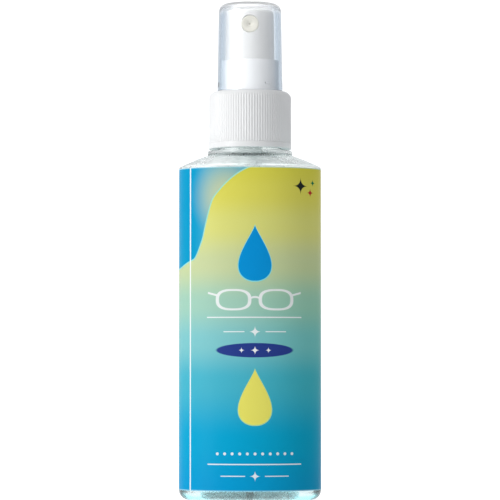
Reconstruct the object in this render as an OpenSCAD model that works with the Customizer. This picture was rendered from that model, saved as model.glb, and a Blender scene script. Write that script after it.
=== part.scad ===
// Lens cleaning spray: an oval clear bottle with a wrap-round label, a ribbed screw closure with a
// fine-mist finger pump, and a clear push-on overcap.
// Millimetres, +Z up, the origin at the middle of the base. The nozzle sprays towards -Y.

/* [Bottle] */
// Width of the oval body, left to right
body_w = 49; // [42:0.5:70]
// Depth of the oval body, front to back
body_d = 33; // [31:0.5:50]
// Height at which the straight sides end and the shoulder starts
body_h = 114.2; // [90:0.2:160]
// Height of the sloping shoulder
shoulder_h = 4.6; // [4:0.1:9]
// Rounding where the straight sides turn into the shoulder
shoulder_r = 0.8; // [0.4:0.1:2]
// Rounding round the foot of the body
foot_r = 3.2; // [2:0.1:5]
// Height of the hollow pushed up into the base
pushup_h = 1.6; // [0.5:0.1:3]
// Thickness of the body wall
wall = 1; // [0.6:0.1:1.4]
// Thickness of the base
base_t = 1.2; // [0.8:0.1:2]
// Flat sides that stand for the oval's smooth curve
body_sides = 64; // [48:4:96]

/* [Neck] */
// Radius at the root of the neck thread
neck_r = 10.75; // [10:0.05:12]
// Thickness of the neck's wall
neck_wall = 1.45; // [1:0.05:1.8]
// Height of the neck above its support bead
neck_h = 16.7; // [15:0.1:20]
// How far the support bead stands out past the closure
bead_overhang = 0.4; // [0:0.1:2]
// Thickness of the support bead
bead_t = 1.5; // [1:0.1:2.5]
// Depth of the screw thread
thread_depth = 1.1; // [0.8:0.05:1.2]
// Rise of the screw thread in one turn
thread_lead = 3.175; // [3:0.005:3.6]
// Turns of thread on the neck and in the closure
thread_turns = 1.5; // [1:0.25:2]

/* [Closure] */
// Thickness of the closure's side, over the ribs
closure_wall = 2.1; // [1.6:0.05:3]
// Height of the ribs over the plain wall
rib_depth = 0.35; // [0.2:0.05:0.5]
// Number of grip ribs
rib_count = 96; // [48:4:120]
// Height of the plain band under the ribs
band_h = 2; // [1:0.1:4]
// Rounding round the closure's top edge
closure_edge_r = 2.3; // [1:0.1:2.6]
// Thickness of the closure's top plate
plate_t = 1.4; // [1:0.1:2]
// Gap between the support bead and the closure's lower edge
closure_gap = 0.7; // [0.4:0.1:2]
// Thickness of the wall of the turret that the actuator slides in
turret_wall = 1.1; // [0.8:0.05:1.5]
// Height of the turret above the closure
turret_h = 10.7; // [9:0.1:13]

/* [Actuator] */
// Radius of the actuator at its lower edge
actuator_r = 8.55; // [8:0.05:10]
// How much narrower the actuator is at its top
actuator_taper = 0.35; // [0:0.05:0.6]
// Height of the actuator above the turret
actuator_h = 17.5; // [15:0.1:24]
// Wall of the actuator
actuator_wall = 1.3; // [1:0.1:2]
// Travel of the pump when it is pressed
stroke = 4.5; // [2:0.1:5.5]
// Room left under the actuator when it is pressed right down
press_room = 1; // [0.5:0.1:2]
// Radius of the nozzle insert
insert_r = 2.9; // [2.2:0.05:3]
// Distance from the actuator's top down to the spray hole
nozzle_drop = 5.3; // [5:0.1:8]

/* [Overcap] */
// How much narrower the overcap is under its top rounding
overcap_taper = 0.5; // [0:0.05:0.8]
// Wall of the overcap
overcap_wall = 0.95; // [0.6:0.05:1]
// Thickness of the overcap's top
overcap_top_t = 1.2; // [0.8:0.1:2]
// Rounding round the overcap's top edge
overcap_edge_r = 2.7; // [1.5:0.1:3]
// Room between the actuator and the overcap's top
headroom = 1.6; // [0.8:0.1:6]
// Number of snap lugs inside the overcap
lug_count = 6; // [3:1:12]

/* [Pump] */
// Radius of the pump chamber's bore
chamber_r = 3.3; // [3.1:0.05:3.6]
// Wall of the pump chamber
chamber_wall = 1.2; // [0.8:0.1:1.4]
// Thickness of the housing's flange
flange_t = 1.5; // [1:0.1:2]
// Thickness of the neck gasket
gasket_t = 1; // [0.6:0.1:1.6]
// Outer radius of the hollow stem
stem_r = 2; // [1.8:0.05:2.1]
// Length of the return spring with the pump at rest
spring_h = 14; // [12:0.5:18]
// Radius of the spring's wire
wire_r = 0.3; // [0.2:0.05:0.35]
// Turns of the return spring
spring_turns = 9; // [7:1:9]
// Radius of the inlet valve ball
ball_r = 1.2; // [1:0.05:1.3]
// Outer radius of the dip tube
tube_r = 1.95; // [1.5:0.05:2.1]
// Radius of the dip tube's bore
tube_bore_r = 1.3; // [0.8:0.05:1.4]
// Gap between the dip tube's end and the inside of the base
tube_gap = 2; // [1:0.5:6]

/* [Contents and label] */
// Distance from the shoulder's edge down to the fluid's surface
headspace = 8.2; // [6:0.1:60]
// Thickness of the label
label_t = 0.1; // [0.05:0.05:0.3]
// Margin between the label and the ends of the straight sides
label_margin = 0.2; // [0:0.1:10]

/* [Clearances] */
// Gap between a piece that turns or slides and the piece that holds it
gap = 0.3; // [0.2:0.05:0.4]
// Gap on each side of the turret's wall
turret_gap = 0.35; // [0.25:0.05:0.5]
// Gap of a snug sliding fit, such as the piston in its bore
fit = 0.05; // [0.02:0.01:0.1]

/* [Hidden] */
$fn = 64;
eps = 0.01;

// Neck and closure radii: the closure fits the neck, and carries the overcap on its flat top
neck_bore_r = neck_r - neck_wall;
closure_bore_r = neck_r + thread_depth + gap;
closure_crest_r = closure_bore_r - thread_depth + 0.1;
turret_bore_r = actuator_r + turret_gap;
turret_r = turret_bore_r + turret_wall;
overcap_r = turret_r + turret_gap + overcap_wall;
overcap_top_r = overcap_r - overcap_taper;
closure_r = max(closure_bore_r + closure_wall, overcap_r + closure_edge_r + rib_depth);
bead_r = closure_r + bead_overhang;

// Bottle and neck heights
bead_z = body_h + shoulder_h;
bead_top = bead_z + bead_t;
neck_top = bead_top + neck_h;
foot_flat = 2.6;
pushup_slope = 3;
foot_steps = 5;
shoulder_turn = 66;
shoulder_steps = 3;
shoulder_edge = shoulder_r * (1 - cos(shoulder_turn));
shoulder_top_w = min(bead_r, body_w / 2 - shoulder_edge);
shoulder_top_d = min(bead_r, body_d / 2 - shoulder_edge);

// Thread sections, across the thread at its root and at its crest
root_w = 2;
crest_w = 0.8;
thread_root = 0.3;
thread_step = 12;
thread_fade = 30;
thread_z = neck_top - 2.6 - thread_lead * thread_turns;

// Closure heights
closure_z = bead_top + closure_gap;
flange_z = neck_top + gasket_t;
flange_top = flange_z + flange_t;
closure_ceiling = flange_top + 0.1;
closure_top = closure_ceiling + plate_t;
turret_top = closure_top + turret_h;
turret_edge_r = 0.35;

// Housing and its cap
chamber_top = flange_top - 5.8;
seal_t = 0.8;
cap_skirt_r = chamber_r + 1.55;
housing_top_r = cap_skirt_r + 1.3;
cap_foot = chamber_top + seal_t;
cap_flange_r = housing_top_r + 0.6;
cap_boss_r = housing_top_r - 0.55;
cap_boss_h = 4;
cap_hole_r = stem_r + gap;
flange_r = neck_r - 0.45;
chamber_outer_r = chamber_r + chamber_wall;

// Piston, poppet and spring, from the top of the chamber downwards
piston_top = chamber_top - 0.2;
piston_h = 4;
stem_foot = piston_top - 2.9;
poppet_top = stem_foot + 1;
poppet_flange_top = stem_foot - 1.6;
poppet_flange_t = 0.8;
spring_top = poppet_flange_top - poppet_flange_t;
spring_foot = spring_top - spring_h;
spring_r = chamber_r - wire_r - gap;
spring_step = 30;

// Inlet valve and dip tube socket
ball_room_r = ball_r + 0.4;
inlet_r = 0.8;
seat_slope = 1;
ball_room_h = 3.8;
seat_z = spring_foot - ball_room_h;
ball_z = seat_z + ((ball_r + 0.03) * sqrt(1 + pow(seat_slope, 2)) - inlet_r) / seat_slope;
stop_reach = 0.55;
stop_t = 0.6;
socket_wall = 1.1;
socket_h = 7.5;
socket_top = seat_z - 0.6;
socket_foot = socket_top - socket_h;
socket_r = tube_r + fit;
tube_top = socket_top - 0.3;
tube_foot = pushup_h + base_t + tube_gap;

// Actuator and nozzle
actuator_top = turret_top + actuator_h;
actuator_foot = closure_top + stroke + press_room;
actuator_top_r = actuator_r - actuator_taper;
actuator_edge_r = 0.9;
dish_depth = 0.8;
hub_r = stem_r + 1.5;
hub_foot = closure_top + cap_boss_h + stroke + 0.4;
nozzle_z = actuator_top - nozzle_drop;
stem_top = nozzle_z - insert_r - 2.1;
nozzle_boss_r = insert_r + 1.1;
nozzle_face = actuator_top_r - 0.25;
insert_l = 3.4;
insert_post_r = insert_r / 2;
orifice_r = 0.2;

// Overcap
overcap_z = closure_top;
overcap_top = actuator_top + headroom + overcap_top_t;
overcap_dome = 0.4;
lug_z = 2.3;
lug_t = 1;
lug_arc = 16;

// One oval ring of points at height z, with its half width and half depth
function oval(half_w, half_d, z) =
    [for (i = [0:body_sides - 1])
        let (t = -360 * i / body_sides) [half_w * cos(t), half_d * sin(t), z]];

// The same oval as a flat outline, grown by d
function outline(d) = [for (p = oval(body_w / 2 + d, body_d / 2 + d, 0)) [p[0], p[1]]];

function inset_ring(d, z) = oval(body_w / 2 - d, body_d / 2 - d, z);

function mix(a, b, t) = a + (b - a) * t;

// A closed skin through a list of rings that hold the same number of points
module skin(rings) {
    n = len(rings[0]);
    m = len(rings);
    polyhedron(
        points = [for (ring = rings) each ring],
        faces = concat(
            [[for (j = [n - 1:-1:0]) j]],
            [for (i = [0:m - 2]) for (j = [0:n - 1])
                [i * n + j, i * n + (j + 1) % n, (i + 1) * n + (j + 1) % n, (i + 1) * n + j]],
            [[for (j = [0:n - 1]) (m - 1) * n + j]]),
        convexity = 6);
}

// A helical screw thread. Its root lies at radius root_at, its crest at crest_at, and it fades out
// at both ends.
module screw_thread(root_at, crest_at, z) {
    steps = round(360 * thread_turns / thread_step);
    side = crest_at > root_at ? 1 : -1;
    skin([for (i = [0:steps])
        let (a = i * thread_step,
             full = min(1, a / thread_fade, (steps - i) * thread_step / thread_fade),
             crest = mix(root_at, crest_at, max(0.05, full)),
             up = z + thread_lead * a / 360)
        [for (p = [[root_at, -root_w], [crest, -crest_w], [crest, crest_w], [root_at, root_w]])
            [p[0] * cos(a), p[0] * sin(a), up + side * p[1] / 2]]]);
}

// Outer skin of the body, from the pushed-up base to the support bead
module body_skin() {
    skin(concat(
        [inset_ring(foot_r + foot_flat + pushup_slope, pushup_h),
         inset_ring(foot_r + foot_flat, 0)],
        [for (i = [0:foot_steps])
            let (a = 90 * i / foot_steps)
            inset_ring(foot_r * (1 - sin(a)), foot_r * (1 - cos(a)))],
        [for (i = [0:shoulder_steps])
            let (a = shoulder_turn * i / shoulder_steps)
            inset_ring(shoulder_r * (1 - cos(a)), body_h + shoulder_r * sin(a))],
        [oval(shoulder_top_w, shoulder_top_d, bead_z)]));
}

// The space inside the body, drawn in by a further d and filled to height top
module body_space(d, top) {
    inset = wall + d;
    foot = base_t + d;
    inner_foot_r = foot_r - 0.6;
    skin(concat(
        [inset_ring(foot_r + foot_flat + pushup_slope + inset, pushup_h + foot),
         inset_ring(foot_r + foot_flat + inset, foot)],
        [for (i = [0:foot_steps])
            let (a = 90 * i / foot_steps)
            inset_ring(inset + inner_foot_r * (1 - sin(a)), foot + inner_foot_r * (1 - cos(a)))],
        [inset_ring(inset, top)]));
}

// The space under the shoulder, from the straight sides up to the neck bore
module shoulder_space() {
    skin([
        inset_ring(wall, body_h - 2),
        inset_ring(wall, body_h - 0.3),
        oval(mix(body_w / 2 - wall, neck_bore_r, 0.66), shoulder_top_d - wall - 0.3, bead_z - 1.2),
        oval(neck_bore_r - 0.6, neck_bore_r - 0.6, bead_z + 0.3)]);
}

// A plain ring: a tube with its outer and inner radius, between two heights
module ring(r_out, r_in, z0, z1) {
    translate([0, 0, z0])
        difference() {
            cylinder(r = r_out, h = z1 - z0);
            translate([0, 0, -eps]) cylinder(r = r_in, h = z1 - z0 + 2 * eps);
        }
}

module bottle() {
    color([0.86, 0.9, 0.92, 0.4])
        difference() {
            union() {
                body_skin();
                support_bead();
                translate([0, 0, bead_z]) cylinder(r = neck_r, h = neck_top - bead_z);
                screw_thread(neck_r - thread_root, neck_r + thread_depth, thread_z);
            }
            body_space(0, body_h - 1);
            shoulder_space();
            translate([0, 0, bead_z - 0.5]) cylinder(r = neck_bore_r, h = neck_top - bead_z + 1);
        }
}

// The bead is a plate with both rims bevelled
module support_bead() {
    bevel = 0.3;
    rotate_extrude()
        polygon([[neck_r - 1, bead_z - eps], [bead_r - bevel, bead_z - eps],
                 [bead_r, bead_z + bevel], [bead_r, bead_top - bevel],
                 [bead_r - bevel, bead_top], [neck_r - 1, bead_top]]);
}

module label() {
    color([0.95, 0.85, 0.2])
        translate([0, 0, foot_r + label_margin])
            linear_extrude(height = body_h - foot_r - 2 * label_margin)
                difference() {
                    polygon(outline(label_t));
                    polygon(outline(0));
                }
}

// The fluid fills the body up to its level and leaves room for the pump's tubes
module cleaning_fluid() {
    level = body_h - headspace;
    room = 0.15;
    color([0.8, 0.9, 0.95, 0.4])
        difference() {
            body_space(room, level);
            cylinder(r = tube_r + room, h = body_h);
            translate([0, 0, socket_foot - room])
                cylinder(r = socket_r + socket_wall + room, h = body_h);
            translate([0, 0, housing_cone_foot() - room])
                cylinder(r = chamber_outer_r + room, h = body_h);
        }
}

function housing_cone_foot() = seat_z - 1.2;

module pump_housing() {
    cone_top = spring_foot - 1.2;
    neck_foot = chamber_top - 1.5;
    color([0.93, 0.94, 0.94])
        difference() {
            rotate_extrude()
                polygon([[0, socket_foot], [socket_r + socket_wall, socket_foot],
                         [socket_r + socket_wall, housing_cone_foot()],
                         [chamber_outer_r, cone_top], [chamber_outer_r, neck_foot - 1],
                         [housing_top_r, neck_foot], [housing_top_r, flange_z],
                         [flange_r, flange_z], [flange_r, flange_top], [0, flange_top]]);
            translate([0, 0, chamber_top])
                cylinder(r = cap_skirt_r + fit, h = flange_top - chamber_top + 1);
            translate([0, 0, spring_foot]) cylinder(r = chamber_r, h = spring_h + 20);
            ball_room();
            translate([0, 0, seat_z - 1]) cylinder(r = inlet_r, h = 2);
            translate([0, 0, socket_foot - 1]) cylinder(r = socket_r, h = socket_h + 1);
            vent_hole();
        }
}

// The inlet valve's room: a cone for a seat, and three stops that keep the ball in
module ball_room() {
    difference() {
        rotate_extrude()
            polygon([[0, seat_z], [inlet_r, seat_z],
                     [ball_room_r, seat_z + (ball_room_r - inlet_r) / seat_slope],
                     [ball_room_r, spring_foot + eps], [0, spring_foot + eps]]);
        for (i = [0:2])
            rotate([0, 0, 120 * i])
                translate([ball_room_r - stop_reach, -0.4, spring_foot - stop_t])
                    cube([stop_reach + 1, 0.8, stop_t + 1]);
    }
}

// Air comes back into the bottle here once the piston has moved down past it
module vent_hole() {
    vent_r = 0.4;
    translate([0, 0, piston_top - 2])
        rotate([0, 90, 0]) cylinder(r = vent_r, h = chamber_outer_r + 3);
}

// A top-hat cap that snaps into the housing and guides the stem
module housing_cap() {
    cap_flange_t = 0.8;
    top = flange_top + cap_boss_h;
    roof_t = 1.2;
    bevel = 0.5;
    color([0.96, 0.96, 0.95])
        difference() {
            rotate_extrude()
                polygon([[0, cap_foot], [cap_skirt_r, cap_foot], [cap_skirt_r, flange_top],
                         [cap_flange_r, flange_top], [cap_flange_r, flange_top + cap_flange_t],
                         [cap_boss_r, flange_top + cap_flange_t], [cap_boss_r, top - bevel],
                         [cap_boss_r - bevel, top], [0, top]]);
            translate([0, 0, cap_foot - 1])
                cylinder(r = cap_skirt_r - 1.2, h = top - roof_t - cap_foot + 1);
            translate([0, 0, top - roof_t - 1]) cylinder(r = cap_hole_r, h = roof_t + 2);
        }
}

module stem_seal() {
    color([0.25, 0.25, 0.27]) ring(cap_skirt_r, stem_r + 0.1, chamber_top, cap_foot);
}

module neck_gasket() {
    color([0.97, 0.97, 0.95]) ring(closure_bore_r - gap, housing_top_r + 0.2, neck_top, flange_z);
}

// The dip tube ends in a slanted cut, so that it can't seal itself against the base
module dip_tube() {
    cut = 30;
    color([0.95, 0.96, 0.96, 0.6])
        difference() {
            translate([0, 0, tube_foot]) cylinder(r = tube_r, h = tube_top - tube_foot);
            translate([0, 0, tube_foot - 1]) cylinder(r = tube_bore_r, h = tube_top - tube_foot + 2);
            translate([-tube_r, 0, tube_foot])
                rotate([0, -cut, 0])
                    translate([-1, -5, -10]) cube([12, 10, 10]);
        }
}

// Height of the wire's middle line, part way t along the spring: both end turns lie close
function spring_rise(t) =
    let (turns = spring_turns * t,
         close = 2.1 * wire_r,
         open = (spring_h - 2 * wire_r - 2 * close) / (spring_turns - 2))
    turns < 1 ? close * turns
    : turns < spring_turns - 1 ? close + open * (turns - 1)
    : close + open * (spring_turns - 2) + close * (turns - spring_turns + 1);

module return_spring() {
    sides = 8;
    steps = round(360 * spring_turns / spring_step);
    color([0.75, 0.76, 0.78])
        skin([for (i = [0:steps])
            let (a = i * spring_step,
                 z = spring_foot + wire_r + spring_rise(i / steps))
            [for (j = [0:sides - 1])
                let (b = 360 * j / sides, r = spring_r + wire_r * cos(b))
                [r * cos(a), r * sin(a), z + wire_r * sin(b)]]]);
}

module inlet_ball() {
    color([0.8, 0.81, 0.83]) translate([0, 0, ball_z]) sphere(r = ball_r);
}

// A sleeve on the stem, with a lip at each end that wipes the bore
module piston() {
    lip_r = chamber_r - fit;
    sleeve_r = stem_r + 0.6;
    foot = piston_top - piston_h;
    color([0.88, 0.9, 0.92])
        rotate_extrude()
            polygon([[stem_r + fit, foot + 0.9], [lip_r - 0.5, foot], [lip_r, foot],
                     [lip_r, foot + 0.4], [sleeve_r, foot + 1.6], [sleeve_r, piston_top - 1],
                     [lip_r, piston_top - 0.3], [lip_r, piston_top], [stem_r + fit, piston_top]]);
}

// The discharge valve: its cone plugs the stem's lower end, and its flange carries the spring
module poppet() {
    cone_r = stem_seat_r() - 0.1;
    guide_r = spring_r - wire_r - 0.3;
    color([0.9, 0.9, 0.88])
        rotate_extrude()
            polygon([[0, spring_top - 2.5], [guide_r - 0.4, spring_top - 2.5],
                     [guide_r, spring_top - 2.1], [guide_r, spring_top],
                     [chamber_r - 0.6, spring_top], [chamber_r - 0.6, poppet_flange_top],
                     [cone_r, poppet_flange_top], [cone_r, stem_foot - 0.1],
                     [cone_r - 0.7, poppet_top], [0, poppet_top]]);
}

function stem_seat_r() = stem_r - 0.65;

module stem() {
    bore_r = stem_seat_r() - 0.6;
    seat_h = 1.1;
    bevel = 0.3;
    color([0.94, 0.94, 0.93])
        rotate_extrude()
            polygon([[stem_seat_r(), stem_foot], [stem_r - bevel, stem_foot],
                     [stem_r, stem_foot + bevel], [stem_r, stem_top - bevel],
                     [stem_r - bevel, stem_top], [bore_r, stem_top],
                     [bore_r, stem_foot + seat_h]]);
}

module actuator() {
    color([0.97, 0.97, 0.97])
        difference() {
            actuator_shell();
            stem_socket();
            nozzle_well();
        }
}

// Radius of the actuator's tapered side at height z
function actuator_side(z) =
    mix(actuator_r, actuator_top_r, (z - actuator_foot) / (actuator_top - actuator_foot));

// The outside and the hollow skirt, with the hub and the nozzle's boss inside
module actuator_shell() {
    roof = actuator_top - dish_depth - actuator_wall;
    difference() {
        union() {
            rotate_extrude()
                difference() {
                    polygon([[0, actuator_foot], [actuator_r, actuator_foot],
                             [actuator_side(actuator_top - actuator_edge_r),
                              actuator_top - actuator_edge_r],
                             [actuator_top_r - actuator_edge_r * 0.3,
                              actuator_top - actuator_edge_r * 0.3],
                             [actuator_top_r - actuator_edge_r, actuator_top],
                             [0, actuator_top]]);
                    polygon([[0, actuator_foot - 1], [actuator_r - actuator_wall, actuator_foot - 1],
                             [actuator_side(roof) - actuator_wall, roof], [0, roof]]);
                }
            intersection() {
                union() {
                    translate([0, 0, hub_foot]) cylinder(r = hub_r, h = roof + 0.5 - hub_foot);
                    translate([0, 0, nozzle_z])
                        rotate([90, 0, 0]) cylinder(r = nozzle_boss_r, h = actuator_r);
                }
                translate([0, 0, hub_foot - 1])
                    cylinder(r = actuator_top_r - 0.6, h = actuator_top - hub_foot);
            }
        }
        finger_dish();
    }
}

// A shallow hollow in the top for a fingertip
module finger_dish() {
    dish_r = actuator_top_r - 1.6;
    ball = (pow(dish_r, 2) + pow(dish_depth, 2)) / (2 * dish_depth);
    translate([0, 0, actuator_top - dish_depth + ball]) sphere(r = ball, $fn = 128);
}

module stem_socket() {
    socket_gap = 0.02;
    translate([0, 0, hub_foot - 1]) cylinder(r = stem_r + socket_gap, h = stem_top - hub_foot + 1.2);
    translate([0, 0, stem_top]) cylinder(r = 0.8, h = nozzle_z - stem_top);
}

// The hole that the insert is pressed into, round a post, with a channel from the stem
module nozzle_well() {
    well_l = insert_l + 0.3;
    translate([0, -nozzle_face + well_l, nozzle_z])
        rotate([90, 0, 0])
            difference() {
                cylinder(r = insert_r + 0.02, h = well_l + 3);
                translate([0, 0, -1]) cylinder(r = insert_post_r, h = insert_l - 0.6 + 1);
            }
    translate([0, 1, nozzle_z - insert_post_r - 0.35])
        rotate([90, 0, 0]) cylinder(r = 0.6, h = nozzle_face - well_l + 1.5);
}

module nozzle_insert() {
    front_t = 0.9;
    dish = 0.35;
    color([0.93, 0.9, 0.82])
        translate([0, -nozzle_face, nozzle_z])
            rotate([-90, 0, 0])
                rotate_extrude()
                    polygon([[orifice_r, dish], [insert_r * 0.55, 0], [insert_r - 0.25, 0],
                             [insert_r, 0.25], [insert_r, insert_l],
                             [insert_post_r + fit, insert_l], [insert_post_r + fit, front_t],
                             [orifice_r, front_t]]);
}

module closure() {
    color([0.97, 0.97, 0.97]) {
        difference() {
            union() {
                closure_core();
                grip_ribs();
                turret();
            }
            translate([0, 0, closure_z - 1])
                cylinder(r = closure_bore_r, h = closure_ceiling - closure_z + 1);
            translate([0, 0, closure_ceiling - 1])
                cylinder(r = cap_flange_r + 0.4, h = plate_t + 2);
            translate([0, 0, closure_top]) cylinder(r = turret_bore_r, h = turret_h + 1);
        }
        screw_thread(closure_bore_r + thread_root, closure_crest_r, thread_z - thread_lead / 2);
    }
}

// The closure's plain outside, under the ribs, with a rounded top edge
module closure_core() {
    core_r = closure_r - rib_depth;
    rotate_extrude() {
        translate([0, closure_z]) square([core_r, closure_top - closure_edge_r - closure_z]);
        translate([0, closure_z]) square([core_r - closure_edge_r, closure_top - closure_z]);
        translate([core_r - closure_edge_r, closure_top - closure_edge_r])
            intersection() {
                circle(r = closure_edge_r);
                square(closure_edge_r);
            }
    }
    translate([0, 0, closure_z + 0.4]) cylinder(r = closure_r + 0.05, h = band_h - 0.4);
}

// The grip ribs: one outline with a ridge for each rib
module grip_ribs() {
    valley_r = closure_r - rib_depth - 0.15;
    translate([0, 0, closure_z + band_h - 0.2])
        linear_extrude(height = closure_top - closure_edge_r * 0.9 - closure_z - band_h + 0.2)
            polygon([for (i = [0:2 * rib_count - 1])
                let (a = 180 * i / rib_count, r = i % 2 == 0 ? closure_r : valley_r)
                [r * cos(a), r * sin(a)]]);
}

module turret() {
    rotate_extrude() {
        translate([0, closure_top - plate_t])
            square([turret_r, plate_t + turret_h - turret_edge_r]);
        translate([0, closure_top]) square([turret_r - turret_edge_r, turret_h]);
        translate([turret_r - turret_edge_r, turret_top - turret_edge_r])
            circle(r = turret_edge_r);
    }
}

module overcap() {
    color([0.88, 0.92, 0.95, 0.35]) {
        rotate_extrude()
            difference() {
                cap_outline(overcap_r, overcap_top_r, overcap_top, overcap_edge_r);
                translate([0, -eps])
                    cap_outline(overcap_r - overcap_wall, overcap_top_r - overcap_wall,
                                overcap_top - overcap_top_t, overcap_edge_r - overcap_wall);
            }
        snap_lugs();
    }
}

// Half the outline of a tapered cap with a rounded edge and a slightly domed top
module cap_outline(r0, r1, top, edge) {
    knee = top - overcap_dome - edge;
    polygon(concat(
        [[0, overcap_z], [r0, overcap_z]],
        [for (i = [0:8])
            let (a = 84 * i / 8) [r1 - edge * (1 - cos(a)), knee + edge * sin(a)]],
        [[(r1 - edge) * 0.55, top - overcap_dome * 0.3], [0, top]]));
}

// Small lugs that grip the turret's foot
module snap_lugs() {
    reach = turret_r + 2 * fit;
    back = overcap_r - overcap_wall + 0.2;
    for (i = [0:lug_count - 1])
        rotate([0, 0, 360 * i / lug_count + 58])
            rotate_extrude(angle = lug_arc)
                polygon([[reach, overcap_z + lug_z], [back, overcap_z + lug_z - lug_t / 2],
                         [back, overcap_z + lug_z + lug_t / 2 + 0.3],
                         [reach, overcap_z + lug_z + 0.3]]);
}

bottle();
label();
cleaning_fluid();
pump_housing();
housing_cap();
stem_seal();
neck_gasket();
dip_tube();
return_spring();
inlet_ball();
piston();
poppet();
stem();
actuator();
nozzle_insert();
closure();
overcap();
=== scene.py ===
"""Lens cleaning spray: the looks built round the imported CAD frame.

Sizes are in millimetres and turned into metres where a mesh is made. Outer heights and radii come from
the CAD nodes' boxes. What a box doesn't tell, such as walls, the foot, the bead, the neck and the
thread, is a named value here that repeats the CAD's.
"""

import math
import random

import bmesh
import bpy
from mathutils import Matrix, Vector


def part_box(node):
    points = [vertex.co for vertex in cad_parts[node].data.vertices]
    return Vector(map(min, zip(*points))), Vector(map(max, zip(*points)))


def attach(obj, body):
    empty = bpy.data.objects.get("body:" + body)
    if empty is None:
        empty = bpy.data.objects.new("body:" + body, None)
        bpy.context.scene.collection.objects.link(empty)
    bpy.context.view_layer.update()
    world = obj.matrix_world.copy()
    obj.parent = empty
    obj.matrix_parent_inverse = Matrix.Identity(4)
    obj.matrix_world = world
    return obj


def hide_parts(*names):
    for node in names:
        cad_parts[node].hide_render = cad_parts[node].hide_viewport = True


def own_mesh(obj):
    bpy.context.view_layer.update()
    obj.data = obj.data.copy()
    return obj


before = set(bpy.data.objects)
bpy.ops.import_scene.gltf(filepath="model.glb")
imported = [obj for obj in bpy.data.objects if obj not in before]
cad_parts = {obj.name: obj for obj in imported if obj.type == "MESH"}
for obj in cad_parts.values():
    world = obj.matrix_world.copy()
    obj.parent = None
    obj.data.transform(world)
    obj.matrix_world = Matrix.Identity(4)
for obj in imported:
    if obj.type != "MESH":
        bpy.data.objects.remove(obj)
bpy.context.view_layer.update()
MM = 0.001
TURN = 2 * math.pi

# ---------------------------------------------------------------- sizes from the frame, in mm


def span(node):
    """(lowest corner, highest corner) of a CAD node, in mm."""
    low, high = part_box(node)
    return low / MM, high / MM


def mix(a, b, t):
    return a + (b - a) * t


BOTTLE_HIGH = span("bottle")[1]
LABEL_LOW, LABEL_HIGH = span("label")
CLOSURE_LOW, CLOSURE_HIGH = span("closure")
ACTUATOR_LOW, ACTUATOR_HIGH = span("actuator")
OVERCAP_LOW, OVERCAP_HIGH = span("overcap")
INSERT_LOW, INSERT_HIGH = span("nozzle_insert")
SPRING_LOW, SPRING_HIGH = span("return_spring")
FLUID_HIGH = span("cleaning_fluid")[1]
HOUSING_LOW, HOUSING_HIGH = span("pump_housing")
TUBE_LOW, TUBE_HIGH = span("dip_tube")

# Bottle
HALF_W = BOTTLE_HIGH.x
HALF_D = BOTTLE_HIGH.y
NECK_TOP = BOTTLE_HIGH.z
WALL = 1.0
BASE_T = 1.2
FOOT_R = 3.2
INNER_FOOT_R = FOOT_R - 0.6
BODY_TOP = LABEL_HIGH.z + 0.2
BEAD_R = 14.65
BEAD_T = 1.5
NECK_H = 16.7
BEAD_TOP = NECK_TOP - NECK_H
BEAD_Z = BEAD_TOP - BEAD_T
NECK_R = 10.75
NECK_BORE_R = 9.3
THREAD_DEPTH = 1.1
THREAD_LEAD = 3.175
THREAD_TURNS = 1.5
THREAD_Z = NECK_TOP - 2.6 - THREAD_LEAD * THREAD_TURNS
# Half width, half depth and height where the shoulder's inside bends into the neck
INNER_KNEE = (mix(HALF_W - WALL, NECK_BORE_R, 0.66), BEAD_R - 1.3, BEAD_Z - 1.2)

# Closure
CLOSURE_R = CLOSURE_HIGH.x - 0.05
CLOSURE_Z = CLOSURE_LOW.z
PLATE_TOP = OVERCAP_LOW.z
CLOSURE_BORE_R = NECK_R + THREAD_DEPTH + 0.3
CEILING = HOUSING_HIGH.z + 0.1
TURRET_R = 10.0
TURRET_BORE_R = 8.9
TURRET_TOP = CLOSURE_HIGH.z
RIBS = 96

# Pump
WIRE_R = 0.3

FINE = 1.0
# Radius at which an outline stops short of the axis, for a fan to close it
AXIS_R = 0.02
# Millimetres to one unit of the label's print coordinates
PRINT_UNIT = 100


# ---------------------------------------------------------------- mesh helpers


def smooth_step(low, high, x):
    t = min(1.0, max(0.0, (x - low) / (high - low)))
    return t * t * (3 - 2 * t)


def arc(centre, radius, start, end, steps):
    """Points of an arc in the (radius, height) plane, with its angles in degrees."""
    points = []
    for i in range(steps + 1):
        a = math.radians(mix(start, end, i / steps))
        points.append((centre[0] + radius * math.cos(a), centre[1] + radius * math.sin(a)))
    return points


def spread(a, b, steps):
    """Points from a to b, without the first."""
    return [(mix(a[0], b[0], i / steps), mix(a[1], b[1], i / steps)) for i in range(1, steps + 1)]


def mesh_object(name, verts, faces, sharp_angle=38):
    """An object from points in mm, smooth but for edges that are sharper than sharp_angle."""
    mesh = bpy.data.meshes.new(name)
    mesh.from_pydata([(x * MM, y * MM, z * MM) for x, y, z in verts], [], faces)
    mesh.validate()
    bm = bmesh.new()
    bm.from_mesh(mesh)
    bmesh.ops.recalc_face_normals(bm, faces=bm.faces)
    limit = math.radians(sharp_angle)
    for face in bm.faces:
        face.smooth = True
    for edge in bm.edges:
        edge.smooth = edge.calc_face_angle(0) < limit
    bm.to_mesh(mesh)
    bm.free()
    obj = bpy.data.objects.new(name, mesh)
    bpy.context.scene.collection.objects.link(obj)
    return obj


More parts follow.
